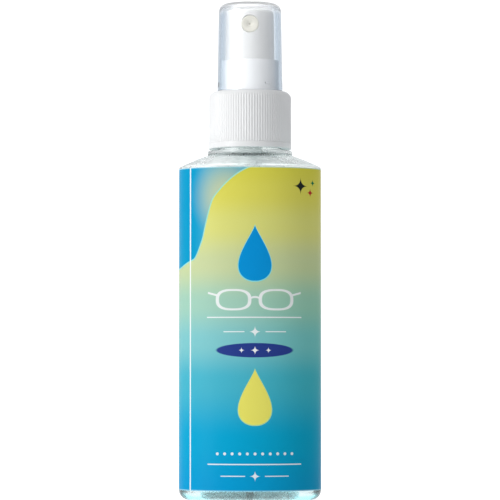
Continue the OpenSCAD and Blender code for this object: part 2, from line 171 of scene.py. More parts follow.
def skin(rings, closed=False):
    """(points, faces) of the surface through rings of points. Each end shuts in a fan, unless the
    rings run round in a loop."""
    n = len(rings[0])
    verts = [p for ring in rings for p in ring]
    pairs = [(i, i + 1) for i in range(len(rings) - 1)]
    if closed:
        pairs.append((len(rings) - 1, 0))
    faces = [
        (a * n + j, a * n + (j + 1) % n, b * n + (j + 1) % n, b * n + j)
        for a, b in pairs
        for j in range(n)
    ]
    if not closed:
        for row, ring in ((0, rings[0]), (len(rings) - 1, rings[-1])):
            middle = [sum(p[k] for p in ring) / n for k in range(3)]
            verts.append(tuple(middle))
            faces += [(row * n + j, row * n + (j + 1) % n, len(verts) - 1) for j in range(n)]
    return verts, faces


def turned(profile, steps, shape=None):
    """Rings of a turned piece. profile is a loop of (radius, height); shape(angle, radius, height)
    gives what to add to the radius there."""
    rings = []
    for r, z in profile:
        ring = []
        for i in range(steps):
            a = TURN * i / steps
            more = shape(a, r, z) if shape else 0
            ring.append(((r + more) * math.cos(a), (r + more) * math.sin(a), z))
        rings.append(ring)
    return rings


def helix_height(angle, z, start, lead, turns):
    """(how far height z lies from the nearest turn of a helix at this angle, how full it is there)."""
    turn = angle / TURN
    k = round((z - start) / lead - turn)
    best, full = 1e9, 0.0
    for step in (k - 1, k, k + 1):
        along = turn + step
        if 0 <= along <= turns:
            away = abs(z - start - lead * along)
            if away < best:
                best = away
                full = min(1.0, along * 12, (turns - along) * 12)
    return best, full


def thread_shape(start, depth):
    """What a screw thread adds to the radius: a ridge 2 mm wide at its root and 0.8 at its crest."""

    def shape(angle, z):
        away, full = helix_height(angle, z, start, THREAD_LEAD, THREAD_TURNS)
        return depth * full * (1 - smooth_step(0.3, 1.05, away))

    return shape


# ---------------------------------------------------------------- the oval


def oval_table(steps=2880):
    """Points of the label's oval by their distance round it from the front centre, in mm."""
    table, length, last = [], 0.0, None
    for i in range(steps + 1):
        t = mix(-math.pi, math.pi, i / steps)
        p = (HALF_W * math.sin(t), -HALF_D * math.cos(t))
        if last:
            length += math.dist(p, last)
        table.append((length, t))
        last = p
    half = length / 2
    return [(s - half, t) for s, t in table], length


OVAL, ROUND = oval_table()


def oval_place(u, out):
    """The point at distance u round the oval, moved out by a little along the oval's normal."""
    u = (u + ROUND / 2) % ROUND - ROUND / 2
    low, high = 0, len(OVAL) - 1
    while high - low > 1:
        middle = (low + high) // 2
        if OVAL[middle][0] <= u:
            low = middle
        else:
            high = middle
    s0, t0 = OVAL[low]
    s1, t1 = OVAL[high]
    t = mix(t0, t1, (u - s0) / (s1 - s0))
    normal = Vector((math.sin(t) / HALF_W, -math.cos(t) / HALF_D, 0)).normalized()
    return HALF_W * math.sin(t) + normal.x * out, -HALF_D * math.cos(t) + normal.y * out


def oval_ring(half_w, half_d, z, steps, shape=None):
    ring = []
    for i in range(steps):
        a = TURN * i / steps
        k = 1 + (shape(a, z) if shape else 0) / half_w
        ring.append((half_w * k * math.cos(a), half_d * k * math.sin(a), z))
    return ring


# ---------------------------------------------------------------- node helpers


class Value:
    """A number in a material's node tree. Arithmetic on it adds Math nodes."""

    def __init__(self, tree, socket):
        self.tree = tree
        self.socket = socket

    def math(self, operation, *others):
        node = self.tree.nodes.new("ShaderNodeMath")
        node.operation = operation
        for socket, value in zip(node.inputs, (self, *others)):
            plug(self.tree, value, socket)
        return Value(self.tree, node.outputs[0])

    def __add__(self, other):
        return self.math("ADD", other)

    def __sub__(self, other):
        return self.math("SUBTRACT", other)

    def __rsub__(self, other):
        return self.math("MULTIPLY", -1).math("ADD", other)

    def __mul__(self, other):
        return self.math("MULTIPLY", other)

    def __truediv__(self, other):
        return self.math("DIVIDE", other)

    def __abs__(self):
        return self.math("ABSOLUTE")

    def power(self, exponent):
        return self.math("POWER", exponent)

    def least(self, other):
        return self.math("MINIMUM", other)

    def most(self, other):
        return self.math("MAXIMUM", other)

    def step(self, low, high):
        """0 below low, 1 above high, and smooth between them."""
        node = self.tree.nodes.new("ShaderNodeMapRange")
        node.interpolation_type = "SMOOTHSTEP"
        plug(self.tree, self, node.inputs["Value"])
        node.inputs["From Min"].default_value = min(low, high)
        node.inputs["From Max"].default_value = max(low, high)
        node.inputs["To Min"].default_value = 0 if low < high else 1
        node.inputs["To Max"].default_value = 1 if low < high else 0
        return Value(self.tree, node.outputs[0])


def plug(tree, value, socket):
    """Sets a socket to a number or a colour, or links it to a Value."""
    if isinstance(value, Value):
        tree.links.new(value.socket, socket)
    else:
        socket.default_value = value


def srgb(hexa):
    """Scene-linear colour from a six-digit screen colour."""
    values = [int(hexa[i : i + 2], 16) / 255 for i in (0, 2, 4)]
    return (*(v / 12.92 if v <= 0.04045 else ((v + 0.055) / 1.055) ** 2.4 for v in values), 1)


def blend_colour(tree, factor, a, b, mode="MIX"):
    node = tree.nodes.new("ShaderNodeMix")
    node.data_type = "RGBA"
    node.blend_type = mode
    plug(tree, factor, node.inputs[0])
    plug(tree, a, node.inputs[6])
    plug(tree, b, node.inputs[7])
    return Value(tree, node.outputs[2])


def noise(tree, scale, detail=2.0, stretch=(1, 1, 1)):
    """Noise over the piece's own coordinates, about scale waves to a metre."""
    coord = tree.nodes.new("ShaderNodeTexCoord")
    mapping = tree.nodes.new("ShaderNodeMapping")
    mapping.inputs["Scale"].default_value = stretch
    node = tree.nodes.new("ShaderNodeTexNoise")
    node.inputs["Scale"].default_value = scale
    node.inputs["Detail"].default_value = detail
    tree.links.new(coord.outputs["Object"], mapping.inputs["Vector"])
    tree.links.new(mapping.outputs[0], node.inputs["Vector"])
    return Value(tree, node.outputs["Fac"])


def object_place(tree):
    """x, y and z in the piece's own coordinates, in mm."""
    coord = tree.nodes.new("ShaderNodeTexCoord")
    parts = tree.nodes.new("ShaderNodeSeparateXYZ")
    tree.links.new(coord.outputs["Object"], parts.inputs[0])
    return tuple(Value(tree, parts.outputs[k]) / MM for k in range(3))


def bump(tree, height, strength, distance_mm):
    node = tree.nodes.new("ShaderNodeBump")
    node.inputs["Strength"].default_value = strength
    node.inputs["Distance"].default_value = distance_mm * MM
    plug(tree, height, node.inputs["Height"])
    return Value(tree, node.outputs[0])


def ramp(tree, factor, stops):
    """A colour ramp through (place, colour) stops."""
    node = tree.nodes.new("ShaderNodeValToRGB")
    node.color_ramp.interpolation = "EASE"
    elements = node.color_ramp.elements
    while len(elements) < len(stops):
        elements.new(0.5)
    for element, (place, colour) in zip(elements, stops):
        element.position = place
        element.color = colour
    plug(tree, factor, node.inputs[0])
    return Value(tree, node.outputs[0])


def new_material(name):
    material = bpy.data.materials.new(name)
    material.use_nodes = True
    return material, material.node_tree, material.node_tree.nodes["Principled BSDF"]


def plastic(name, colour, roughness, grain=900, depth=0.006, specular=0.5, subsurface=0.0):
    """Moulded plastic: fine mould grain, and gloss that varies a little."""
    material, tree, shader = new_material(name)
    shader.inputs["Specular IOR Level"].default_value = specular
    if subsurface:
        shader.inputs["Subsurface Weight"].default_value = subsurface
        shader.inputs["Subsurface Radius"].default_value = (1.0, 1.0, 1.0)
        shader.inputs["Subsurface Scale"].default_value = 0.0012
    cloud = noise(tree, 60, 3)
    shade = [c * 0.965 for c in colour[:3]] + [1]
    plug(tree, blend_colour(tree, cloud.step(0.3, 0.7), shade, colour), shader.inputs["Base Color"])
    plug(tree, cloud * 0.08 + (roughness - 0.04), shader.inputs["Roughness"])
    plug(tree, bump(tree, noise(tree, grain, 4), 0.35, depth), shader.inputs["Normal"])
    return material


def steel(name, roughness):
    """Bright steel with fine drawing marks."""
    material, tree, shader = new_material(name)
    shader.inputs["Metallic"].default_value = 1
    marks = noise(tree, 900, 4, (1, 1, 6))
    tint = ramp(tree, marks, [(0.2, srgb("9A9DA2")), (0.8, srgb("D5D7DA"))])
    plug(tree, tint, shader.inputs["Base Color"])
    plug(tree, marks * 0.2 + roughness, shader.inputs["Roughness"])
    plug(tree, bump(tree, marks, 0.2, 0.004), shader.inputs["Normal"])
    return material


def painted_edge_shade_mask(tree):
    """1 on the overcap's outside, below its dome, where the painted edge shade shows."""
    x, y, z = object_place(tree)
    reach = (x * x + y * y).power(0.5)
    taper = (z - OVERCAP_LOW.z) * (0.5 / (OVERCAP_HIGH.z - OVERCAP_LOW.z))
    outside = (reach + taper).step(OVERCAP_HIGH.x - 0.5, OVERCAP_HIGH.x - 0.3)
    return outside * (z.step(OVERCAP_HIGH.z - 2.2, OVERCAP_HIGH.z - 5) * 0.4 + 0.6)


def clear(name, colour, ior, roughness, grain=500, depth=0.01, edge=None):
    """A clear material that lets lamps through, with slight waves in its surface. Seen along its
    surface it takes the edge colour: partly the tint of thick clear plastic, partly painted shade
    standing in for darker surroundings seen in it."""
    material, tree, shader = new_material(name)
    shader.inputs["Base Color"].default_value = colour
    if edge:
        weight = tree.nodes.new("ShaderNodeLayerWeight")
        weight.inputs["Blend"].default_value = 0.5
        # painted shade: at grazing views the overcap's sides take the bluish-grey edge colour, partly the
        # plastic's own tint
        along = Value(tree, weight.outputs["Facing"]).step(0.05, 0.5) * painted_edge_shade_mask(tree)
        plug(tree, blend_colour(tree, along, colour, edge), shader.inputs["Base Color"])
    shader.inputs["Roughness"].default_value = roughness
    shader.inputs["IOR"].default_value = ior
    shader.inputs["Transmission Weight"].default_value = 1
    waves = noise(tree, grain, 3)
    plug(tree, bump(tree, waves, 0.25, depth), shader.inputs["Normal"])
    path = tree.nodes.new("ShaderNodeLightPath")
    see = tree.nodes.new("ShaderNodeBsdfTransparent")
    see.inputs["Color"].default_value = colour
    both = tree.nodes.new("ShaderNodeMixShader")
    output = tree.nodes["Material Output"]
    tree.links.new(path.outputs["Is Shadow Ray"], both.inputs[0])
    tree.links.new(shader.outputs[0], both.inputs[1])
    tree.links.new(see.outputs[0], both.inputs[2])
    tree.links.new(both.outputs[0], output.inputs["Surface"])
    return material


# ---------------------------------------------------------------- the label's print

BLUE = srgb("009CCB")
NAVY = srgb("2B3F8C")
WHITE = (0.92, 0.94, 0.94, 1)


def astroid(x, y, size):
    """1 inside a four-pointed sparkle."""
    reach = abs(x).power(0.5) + abs(y).power(0.5)
    return reach.step(math.sqrt(size) * 1.06, math.sqrt(size) * 0.97)


def drop(x, y, height, width, grow=0.0):
    """1 inside a water drop that stands on its round end, with its middle at the origin."""
    t = (y / (height / 2 + grow)).least(1).most(-1)
    side = ((1 - t * t).most(0)).power(0.5) * ((1 - t) / 2).most(0).power(0.8)
    inside = abs(y).step(height / 2 + grow, height / 2 + grow - 0.1)
    return (side * (width * 0.77 + grow) - abs(x)).step(-0.08, 0.08) * inside


def box_mask(x, y, half_w, half_h, soft=0.06):
    return (abs(x) - half_w).most(abs(y) - half_h).step(soft, -soft)


def ellipse_mask(x, y, half_w, half_h):
    reach = ((x / half_w).power(2) + (y / half_h).power(2)).power(0.5)
    return reach.step(1 + 0.1 / half_h, 1 - 0.1 / half_h)


def spectacles(x, y):
    """1 on the line drawing of a pair of spectacles, 33 mm wide."""
    line = 0.34
    lens_x, half_w, half_h = 7.4, 5.6, 3.3
    side = abs(x)
    roundness = 2.7
    reach = abs((side - lens_x) / half_w).power(roundness) + abs(y / half_h).power(roundness)
    reach = reach.power(1 / roundness)
    lens = (abs(reach - 1) * half_h).step(line + 0.1, line - 0.1)
    bridge_y = y - 0.9 + side * side * 0.16
    bridge = abs(bridge_y).step(line + 0.1, line - 0.1)
    bridge = bridge * side.step(lens_x - half_w + 0.2, lens_x - half_w)
    arm = abs(y - 1.5 - (side - 13) * 0.25).step(line + 0.1, line - 0.1)
    arm = arm * side.step(12.6, 12.8) * side.step(16.6, 16.4)
    return lens.most(bridge).most(arm)


def dot_row(x, y, pitch, radius):
    """1 in a row of dots, the middle one at the origin."""
    nearest = (x / pitch + 0.5).math("FLOOR") * pitch
    reach = ((x - nearest).power(2) + y * y).power(0.5)
    return reach.step(radius + 0.06, radius - 0.06)


def rule_rows(tree, x, y, pitch, half_w, half_h):
    """Plain rules one under another, each of its own length from the left."""
    index = (y / pitch).math("FLOOR")
    white = tree.nodes.new("ShaderNodeTexWhiteNoise")
    white.noise_dimensions = "1D"
    plug(tree, index, white.inputs["W"])
    chance = Value(tree, white.outputs["Value"])
    across = y - (index + 0.5) * pitch
    length = (chance * 0.5 + 0.5) * (2 * half_w)
    within = (x + half_w).step(-0.05, 0.05) * (length - x - half_w).step(-0.05, 0.05)
    return abs(across).step(half_h + 0.05, half_h - 0.05) * within


def label_print():
    """The printed film: yellow over blue, with a plain wave, drops, sparkles and spectacles."""
    material, tree, shader = new_material("label_print")
    uv = tree.nodes.new("ShaderNodeUVMap")
    uv.uv_map = "print"
    parts = tree.nodes.new("ShaderNodeSeparateXYZ")
    tree.links.new(uv.outputs[0], parts.inputs[0])
    u = Value(tree, parts.outputs[0]) * PRINT_UNIT
    v = Value(tree, parts.outputs[1]) * PRINT_UNIT
    colour = field_colour(tree, u, v)
    # painted shade: the lower right of the front is darkened and tinted, so the left stays paler
    painted_lower_right_shade = blend_colour(
        tree, u.step(-8, 30) * v.step(92, 55) * 0.5, (1, 1, 1, 1), (0.55, 0.9, 0.72, 1)
    )
    colour = blend_colour(tree, 1, colour, painted_lower_right_shade, "MULTIPLY")
    colour = corner_colour(tree, u, v, colour)
    colour = front_marks(tree, u, v, colour)
    colour = back_panel(tree, u, v, colour)
    rim = v.step(LABEL_LOW.z + 0.45, LABEL_LOW.z + 0.2)
    rim = rim.most(v.step(LABEL_HIGH.z - 0.4, LABEL_HIGH.z - 0.15))
    colour = blend_colour(tree, rim * 0.6, colour, srgb("BFEFF6"))
    plug(tree, colour, shader.inputs["Base Color"])
    film = noise(tree, 700, 3)
    plug(tree, film * 0.1 + 0.3, shader.inputs["Roughness"])
    plug(tree, bump(tree, film, 0.15, 0.01), shader.inputs["Normal"])
    shader.inputs["Specular IOR Level"].default_value = 0.06
    return material


def field_colour(tree, u, v):
    """The ground: yellow at the top, through green and teal, to bright blue at the foot."""
    low, high = LABEL_LOW.z, LABEL_HIGH.z
    height = (v - low) / (high - low)
    return ramp(tree, height, [
        (0.0, srgb("009DD4")),
        (0.16, srgb("00A6D3")),
        (0.34, srgb("48B6CC")),
        (0.46, srgb("80C8CC")),
        (0.58, srgb("A4D0BC")),
        (0.70, srgb("CBD7A2")),
        (0.82, srgb("DEDE7E")),
        (0.92, srgb("E0DA5E")),
        (1.0, srgb("DDD750")),
    ])


def wave_height(u):
    """Height of the wave that parts the blue corner from the ground, by the distance round."""
    over = (1 - ((u + 17) / 22).least(1).most(0)).power(2)
    return u.step(-31, -18) * 3.5 + u.step(-21, -12.5) * 15 - over * 17 + u.step(-45, -85) * 37 + 96.5


def corner_colour(tree, u, v, ground):
    """Above the wave the label is blue, with a pale glow, and a thin cyan line follows the wave."""
    slope = wave_height(u + 0.5) - wave_height(u - 0.5)
    away = (v - wave_height(u)) / (slope * slope + 1).power(0.5)
    glow = (((u + 8.5) / 13).power(2) + ((v - 104) / 15).power(2)).power(0.5).step(1.1, 0.1)
    sky = blend_colour(tree, u.step(-21, -13) * 0.45, BLUE, srgb("59B9CE"))
    sky = blend_colour(tree, glow * 0.85, sky, srgb("CFD3A0"))
    colour = blend_colour(tree, away.step(-0.08, 0.08), ground, sky)
    line = abs(away + 0.15).step(0.3, 0.12)
    return blend_colour(tree, line * 0.75, colour, srgb("7FE3E6"))


PRINT_SHIFT = 1.7


def front_marks(tree, u, v, colour):
    """The front's own marks, set round an upright line a little right of the middle."""
    x = u - PRINT_SHIFT
    upright = box_mask(u + 22.2, v - 59, 0.27, 60)
    colour = blend_colour(tree, upright, colour, WHITE)
    # the blue drop above, the yellow drop below, each with a thin pale edge
    for height, size, tint, edge in (
        (84.5, 19.0, srgb("0494DA"), srgb("7FE3E6")),
        (35.5, 19.0, srgb("EFE86A"), srgb("B9E6A0")),
    ):
        y = v - height
        colour = blend_colour(tree, drop(x, y, size, 10.6, 0.35), colour, edge)
        colour = blend_colour(tree, drop(x, y, size, 10.6), colour, tint)
    marks = spectacles(x, v - 68.6)
    marks = marks.most(box_mask(x, v - 62.6, 16.8, 0.2))
    ornament = box_mask(abs(x) - 7.2, v - 57.7, 3.6, 0.16).most(astroid(x, v - 57.7, 2.1))
    marks = marks.most(ornament)
    marks = marks.most(box_mask(x, v - 12.6, 16.6, 0.2))
    dots = dot_row(x, v - 16.2, 2.6, 0.5) * box_mask(x, v - 16.2, 14.3, 1)
    foot = box_mask(abs(x) - 7.6, v - 8.6, 4.2, 0.16).most(astroid(x, v - 8.6, 1.9))
    marks = marks.most(dots).most(foot)
    badge = ellipse_mask(x, v - 51.4, 13.4, 2.45)
    colour = blend_colour(tree, marks * 0.92, colour, WHITE)
    colour = blend_colour(tree, badge, colour, NAVY)
    stars = astroid(abs(x) - 4.6, v - 51.4, 1.1).most(astroid(x, v - 51.4, 1.6))
    colour = blend_colour(tree, stars, colour, WHITE)
    corner_x, corner_y = u - 18.2, v - 107.6
    for dx, dy, size, tint in (
        (0, 0, 3.0, "1E2622"),
        (4.3, -2.2, 1.7, "B8322C"),
        (5.6, 1.2, 1.4, "1E7A4C"),
    ):
        colour = blend_colour(tree, astroid(corner_x - dx, corner_y - dy, size), colour, srgb(tint))
    return colour


def back_panel(tree, u, v, colour):
    """A pale panel on the back with spectacles over rows of plain rules."""
    x = u + ROUND / 2
    panel = box_mask(x, v - 52, 18.6, 40, 0.1)
    colour = blend_colour(tree, panel * 0.78, colour, srgb("E9F6F6"))
    rows = rule_rows(tree, x, v - 15.5, 3.1, 14.6, 0.28) * box_mask(x, v - 47.5, 20, 31.2)
    heading = spectacles(x, v - 86.2).most(box_mask(x, v - 81.6, 14.6, 0.15))
    return blend_colour(tree, rows.most(heading) * 0.85, colour, NAVY)


# ---------------------------------------------------------------- materials


def mist_shoulder(material):
    """Above the label the bottle is misted inside, unevenly; below it is clear."""
    tree = material.node_tree
    shader = tree.nodes["Principled BSDF"]
    height = object_place(tree)[2]
    above = height.step(LABEL_HIGH.z - 3, LABEL_HIGH.z + 1) * height.step(BEAD_TOP + 1.5, BEAD_TOP)
    patches = noise(tree, 260, 4).step(0.35, 0.7)
    rough = above * (patches * 0.22 + 0.16) + 0.09
    plug(tree, rough, shader.inputs["Roughness"])


def haze_dome(material):
    """The overcap's dome is a little hazy, where the moulding is thickest."""
    tree = material.node_tree
    dome = object_place(tree)[2].step(OVERCAP_HIGH.z - 4, OVERCAP_HIGH.z - 1)
    plug(tree, dome * 0.3 + 0.03, tree.nodes["Principled BSDF"].inputs["Roughness"])


def painted_glow_behind_label(material):
    """Painted light: the film's reverse glows, bluish low and paler high, standing in for light that would
    come through the thin printed film.
    """
    tree = material.node_tree
    shader = tree.nodes["Principled BSDF"]
    height = (object_place(tree)[2] - LABEL_LOW.z) / (LABEL_HIGH.z - LABEL_LOW.z)
    # colour of the painted glow, by height
    shade = ramp(tree, height, [(0.0, srgb("9AD0D8")), (0.5, srgb("AEC5C4")), (1.0, srgb("D6D9D9"))])
    plug(tree, shade, shader.inputs["Emission Color"])
    shader.inputs["Emission Strength"].default_value = 1.5


def make_materials():
    made = {
        "bottle": clear("bottle_pet", (0.975, 0.99, 0.985, 1), 1.5, 0.09, 420, 0.22),
        "drops": clear("clinging_drops", (0.97, 0.985, 0.985, 1), 1.33, 0.0, 40, 0.02),
        # the overcap's edge colour is partly painted shade on its sides
        "overcap": clear(
            "overcap_styrene", (0.975, 0.98, 0.985, 1), 1.5, 0.03, 120, 0.01, edge=(0.25, 0.33, 0.42, 1)
        ),
        "fluid": clear("cleaning_fluid", (0.86, 0.96, 0.965, 1), 1.33, 0.0, 40, 0.02),
        "white": plastic("white_polypropylene", (0.86, 0.865, 0.87, 1), 0.34, 700, 0.008),
        "button": plastic("button_polypropylene", (0.72, 0.72, 0.715, 1), 0.3, 900, 0.005),
        "cream": plastic("nozzle_acetal", srgb("D8D5CA"), 0.36, 1500, 0.004),
        "natural": plastic("natural_polypropylene", srgb("E4E7E7"), 0.4, 800, 0.006),
        "soft": plastic("soft_polyethylene", srgb("DCE2E6"), 0.5, 600, 0.006),
        "foam": plastic("gasket_foam", srgb("F0F0EC"), 0.75, 2600, 0.05),
        "rubber": plastic("seal_rubber", srgb("2A2A2C"), 0.6, 1800, 0.01),
        "tube": clear("tube_polyethylene", (0.93, 0.95, 0.95, 1), 1.45, 0.35, 300, 0.02),
        "spring": steel("spring_wire", 0.22),
        "ball": steel("ball_steel", 0.08),
        "print": label_print(),
        "print_back": plastic("label_reverse", srgb("EEF1F1"), 0.55, 900, 0.004),
    }
    mist_shoulder(made["bottle"])
    haze_dome(made["overcap"])
    # painted glow on the label's reverse, standing in for light through the film
    painted_glow_behind_label(made["print_back"])
    return made


# ---------------------------------------------------------------- bottle, label and fluid


def body_rings(steps):
    """The outside of the body, from the middle of the base to the support bead."""
    seam = 0.05

    def parting(angle, z):
        """A fine mould line up each narrow side."""
        side = abs(math.sin(angle))
        return seam * math.exp(-((side / 0.012) ** 2))

    def ring(inset, z, flat=False):
        shape = None if flat else parting
        return oval_ring(HALF_W - inset, HALF_D - inset, z, steps, shape)

    push = 1.6
    rings = [
        ring(14.5, push, True),
        ring(12, push * 0.97, True),
        ring(FOOT_R + 5.6, push * 0.86, True),
        ring(FOOT_R + 4.2, push * 0.5, True),
        ring(FOOT_R + 3.0, push * 0.12, True),
        ring(FOOT_R + 2.6, 0, True),
        ring(FOOT_R + 1.2, 0, True),
    ]
    for i in range(15):
        a = math.radians(90 * i / 14)
        rings.append(ring(FOOT_R * (1 - math.sin(a)), FOOT_R * (1 - math.cos(a))))
    for i in range(1, 40):
        rings.append(ring(0, mix(FOOT_R, BODY_TOP, i / 40)))
    shoulder_r, shoulder_turn = 0.8, 66
    for i in range(9):
        a = math.radians(shoulder_turn * i / 8)
        rings.append(ring(shoulder_r * (1 - math.cos(a)), BODY_TOP + shoulder_r * math.sin(a)))
    last_w = HALF_W - shoulder_r * (1 - math.cos(a))
    last_d = HALF_D - shoulder_r * (1 - math.cos(a))
    last_z = BODY_TOP + shoulder_r * math.sin(a)
    for i in range(1, 12):
        t = i / 12
        rise = t + 0.05 * math.sin(math.pi * t)
        rings.append(oval_ring(mix(last_w, BEAD_R - 0.35, t), mix(last_d, BEAD_R - 0.35, t),
                               mix(last_z, BEAD_Z, rise), steps, parting))
    return rings


def neck_rings(steps):
    """The bead and the threaded neck, up to its lip."""
    thread = thread_shape(THREAD_Z, THREAD_DEPTH)
    bevel = 0.35
    profile = arc((BEAD_R - bevel, BEAD_Z + bevel), bevel, -90, 0, 5)
    profile += arc((BEAD_R - bevel, BEAD_TOP - bevel), bevel, 0, 90, 5)
    profile += [(NECK_R + 1.2, BEAD_TOP + 0.02)]
    profile += arc((NECK_R + 0.8, BEAD_TOP + 0.8), 0.8, 250, 180, 4)
    rows = int(70 * FINE)
    profile += spread((NECK_R, BEAD_TOP + 0.8), (NECK_R, NECK_TOP - 0.4), rows)
    profile += arc((NECK_R - 0.35, NECK_TOP - 0.35), 0.35, 15, 90, 4)
    profile += arc((NECK_BORE_R + 0.25, NECK_TOP - 0.25), 0.25, 90, 180, 4)

    def shape(angle, r, z):
        on_neck = abs(r - NECK_R) < 0.01 and z < NECK_TOP - 0.3
        return thread(angle, z) if on_neck else 0

    return turned(profile, steps, shape)


# (inset from the wall, rise) along the inside of the pushed-up base
PUSHED_UP_FLOOR = ((FOOT_R + 2.6, 0), (FOOT_R + 4.2, 0.8), (FOOT_R + 5.6, 1.36), (12, 1.55))


def inner_rings(steps):
    """The inside of the bottle, from the lip down to the middle of the base."""
    rings = turned([(NECK_BORE_R, z) for z in (NECK_TOP - 1, BEAD_TOP + 1, BEAD_Z + 0.4)], steps)
    wide, deep = HALF_W - WALL, HALF_D - WALL
    start = (NECK_BORE_R, NECK_BORE_R, BEAD_Z + 0.1)
    end = (wide - 0.35, deep - 0.2, BODY_TOP + 0.1)
    for a, b, n in ((start, INNER_KNEE, 5), (INNER_KNEE, end, 9)):
        for i in range(1, n + 1):
            rings.append(oval_ring(*(mix(a[k], b[k], i / n) for k in range(3)), steps))
    for i in range(1, 5):
        t = math.radians(90 * i / 4)
        rings.append(oval_ring(wide - 0.35 * (1 - math.sin(t)), deep - 0.2 * (1 - math.sin(t)),
                               BODY_TOP - 0.5 * math.sin(t), steps))
    for i in range(1, 30):
        rings.append(oval_ring(wide, deep, mix(BODY_TOP - 0.5, BASE_T + INNER_FOOT_R, i / 30), steps))
    for i in range(9):
        a = math.radians(90 * i / 8)
        d = INNER_FOOT_R * (1 - math.cos(a))
        rings.append(oval_ring(wide - d, deep - d, BASE_T + INNER_FOOT_R * (1 - math.sin(a)), steps))
    for inset, rise in (*PUSHED_UP_FLOOR, (13.6, 1.6)):
        rings.append(oval_ring(wide - inset, deep - inset, BASE_T + rise, steps))
    return rings


def make_bottle(materials):
    steps = int(288 * FINE)
    rings = body_rings(steps) + neck_rings(steps) + inner_rings(steps)
    verts, faces = skin(rings)
    obj = mesh_object("clear_bottle", verts, faces, 50)
    obj.data.materials.append(materials["bottle"])
    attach(obj, "bottle")
    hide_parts("bottle")


SEAM_AT = 40.0
OVERLAP = 4.0
FILM = 0.07


def make_label(materials):
    """One strip of film wrapped round the body, its end lapped over its start near the back."""
    columns = int(420 * FINE)
    rows = 26
    start, end = SEAM_AT - ROUND, SEAM_AT + OVERLAP
    verts, places = [], []
    for side in (0, 1):
        for i in range(columns + 1):
            u = mix(start, end, i / columns)
            lap = smooth_step(SEAM_AT - 1.6, SEAM_AT + 0.1, u) * (FILM + 0.01)
            out = 0.008 + side * FILM + lap
            for j in range(rows + 1):
                z = mix(LABEL_LOW.z, LABEL_HIGH.z, j / rows)
                x, y = oval_place(u, out)
                verts.append((x, y, z))
                places.append((u / PRINT_UNIT, z / PRINT_UNIT))
    block = (columns + 1) * (rows + 1)

    def at(side, i, j):
        return side * block + i * (rows + 1) + j

    faces = []
    for i in range(columns):
        for j in range(rows):
            for side in (0, 1):
                corners = ((i, j), (i + 1, j), (i + 1, j + 1), (i, j + 1))
                faces.append(tuple(at(side, *corner) for corner in corners))
    outline = [(i, 0) for i in range(columns)] + [(columns, j) for j in range(rows)]
    outline += [(columns - i, rows) for i in range(columns)] + [(0, rows - j) for j in range(rows)]
    for (i0, j0), (i1, j1) in zip(outline, outline[1:] + outline[:1]):
        faces.append((at(0, i0, j0), at(0, i1, j1), at(1, i1, j1), at(1, i0, j0)))
    obj = mesh_object("wrap_label", verts, faces)
    layer = obj.data.uv_layers.new(name="print")
    for loop in obj.data.loops:
        layer.data[loop.index].uv = places[loop.vertex_index]
    obj.data.materials.append(materials["print"])
    obj.data.materials.append(materials["print_back"])
    for polygon in obj.data.polygons:
        if all(v < block for v in polygon.vertices):
            polygon.material_index = 1
    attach(obj, "bottle")
    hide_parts("label")


def make_fluid(materials):
    """The fluid: it wets the wall a little at its surface, and stands clear of the pump's tubes."""
    steps = int(160 * FINE)
    press = 0.02
    wide, deep = HALF_W - WALL + press, HALF_D - WALL + press
    base = BASE_T - press
    level = FLUID_HIGH.z - 0.5
    rings = []
    for inset, rise in ((13.2, 1.6), *PUSHED_UP_FLOOR[::-1]):
        rings.append(oval_ring(wide - inset, deep - inset, base + rise, steps))
    for i in range(9):
        a = math.radians(90 * i / 8)
        d = INNER_FOOT_R * (1 - math.sin(a))
        rings.append(oval_ring(wide - d, deep - d, base + INNER_FOOT_R * (1 - math.cos(a)), steps))
    for i in range(1, 20):
        rings.append(oval_ring(wide, deep, mix(base + INNER_FOOT_R, level + 0.5, i / 19), steps))
    for i in range(1, 7):
        inset = 1.6 * i / 6
        rings.append(oval_ring(wide - inset, deep - inset, level + 0.5 * (1 - i / 6) ** 2, steps))
    hole = 3.35
    for t in (0.3, 0.6, 0.85):
        rings.append(oval_ring(mix(wide - 1.6, hole + 0.8, t), mix(deep - 1.6, hole + 0.8, t), level, steps))
    foot, tube = HOUSING_LOW.z, TUBE_HIGH.x + 0.1
    down = [(hole + 0.35, level + 0.08), (hole, level + 0.35), (hole, foot - 0.2)]
    down += [(tube, foot - 0.25), (tube, TUBE_LOW.z - 0.2)]
    rings += [oval_ring(r, r, z, steps) for r, z in down]
    verts, faces = skin(rings)
    obj = mesh_object("fluid_fill", verts, faces, 45)
    obj.data.materials.append(materials["fluid"])
    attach(obj, "bottle")
    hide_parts("cleaning_fluid")


def make_droplets(materials):
    """Small drops of fluid that cling to the inside of the shoulder."""
    rng = random.Random(7)
    wide, deep = HALF_W - WALL, HALF_D - WALL
    low = (wide, deep, BODY_TOP)
    high = INNER_KNEE
    seed = bmesh.new()
    bmesh.ops.create_icosphere(seed, subdivisions=2, radius=1)
    seed.verts.ensure_lookup_table()
    ball = [vert.co.copy() for vert in seed.verts]
    sides = [[vert.index for vert in face.verts] for face in seed.faces]
    seed.free()
    verts, faces = [], []
    for _ in range(int(700 * FINE)):
        t = rng.random() * 0.86
        a = rng.random() * TURN
        w, d, z = (mix(low[k], high[k], t) for k in range(3))
        place = Vector((w * math.cos(a), d * math.sin(a), z))
        slope = Vector((math.cos(a) / w, math.sin(a) / d, 0)).normalized()
        rise = high[2] - low[2]
        normal = Vector((slope.x * rise, slope.y * rise, max(low[0] - high[0], 1) * 0.7)).normalized()
        radius = 0.1 + 0.3 * rng.random() ** 3
        turn = normal.to_track_quat("Z", "Y")
        start = len(verts)
        place -= normal * (radius * 0.2 + 0.25)
        for p in ball:
            verts.append(turn @ Vector((p.x, p.y, p.z * 0.55)) * radius + place)
        faces += [[start + k for k in side] for side in sides]
    obj = mesh_object("shoulder_droplets", verts, faces, 180)
    obj.data.materials.append(materials["drops"])
    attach(obj, "bottle")


# ---------------------------------------------------------------- closure


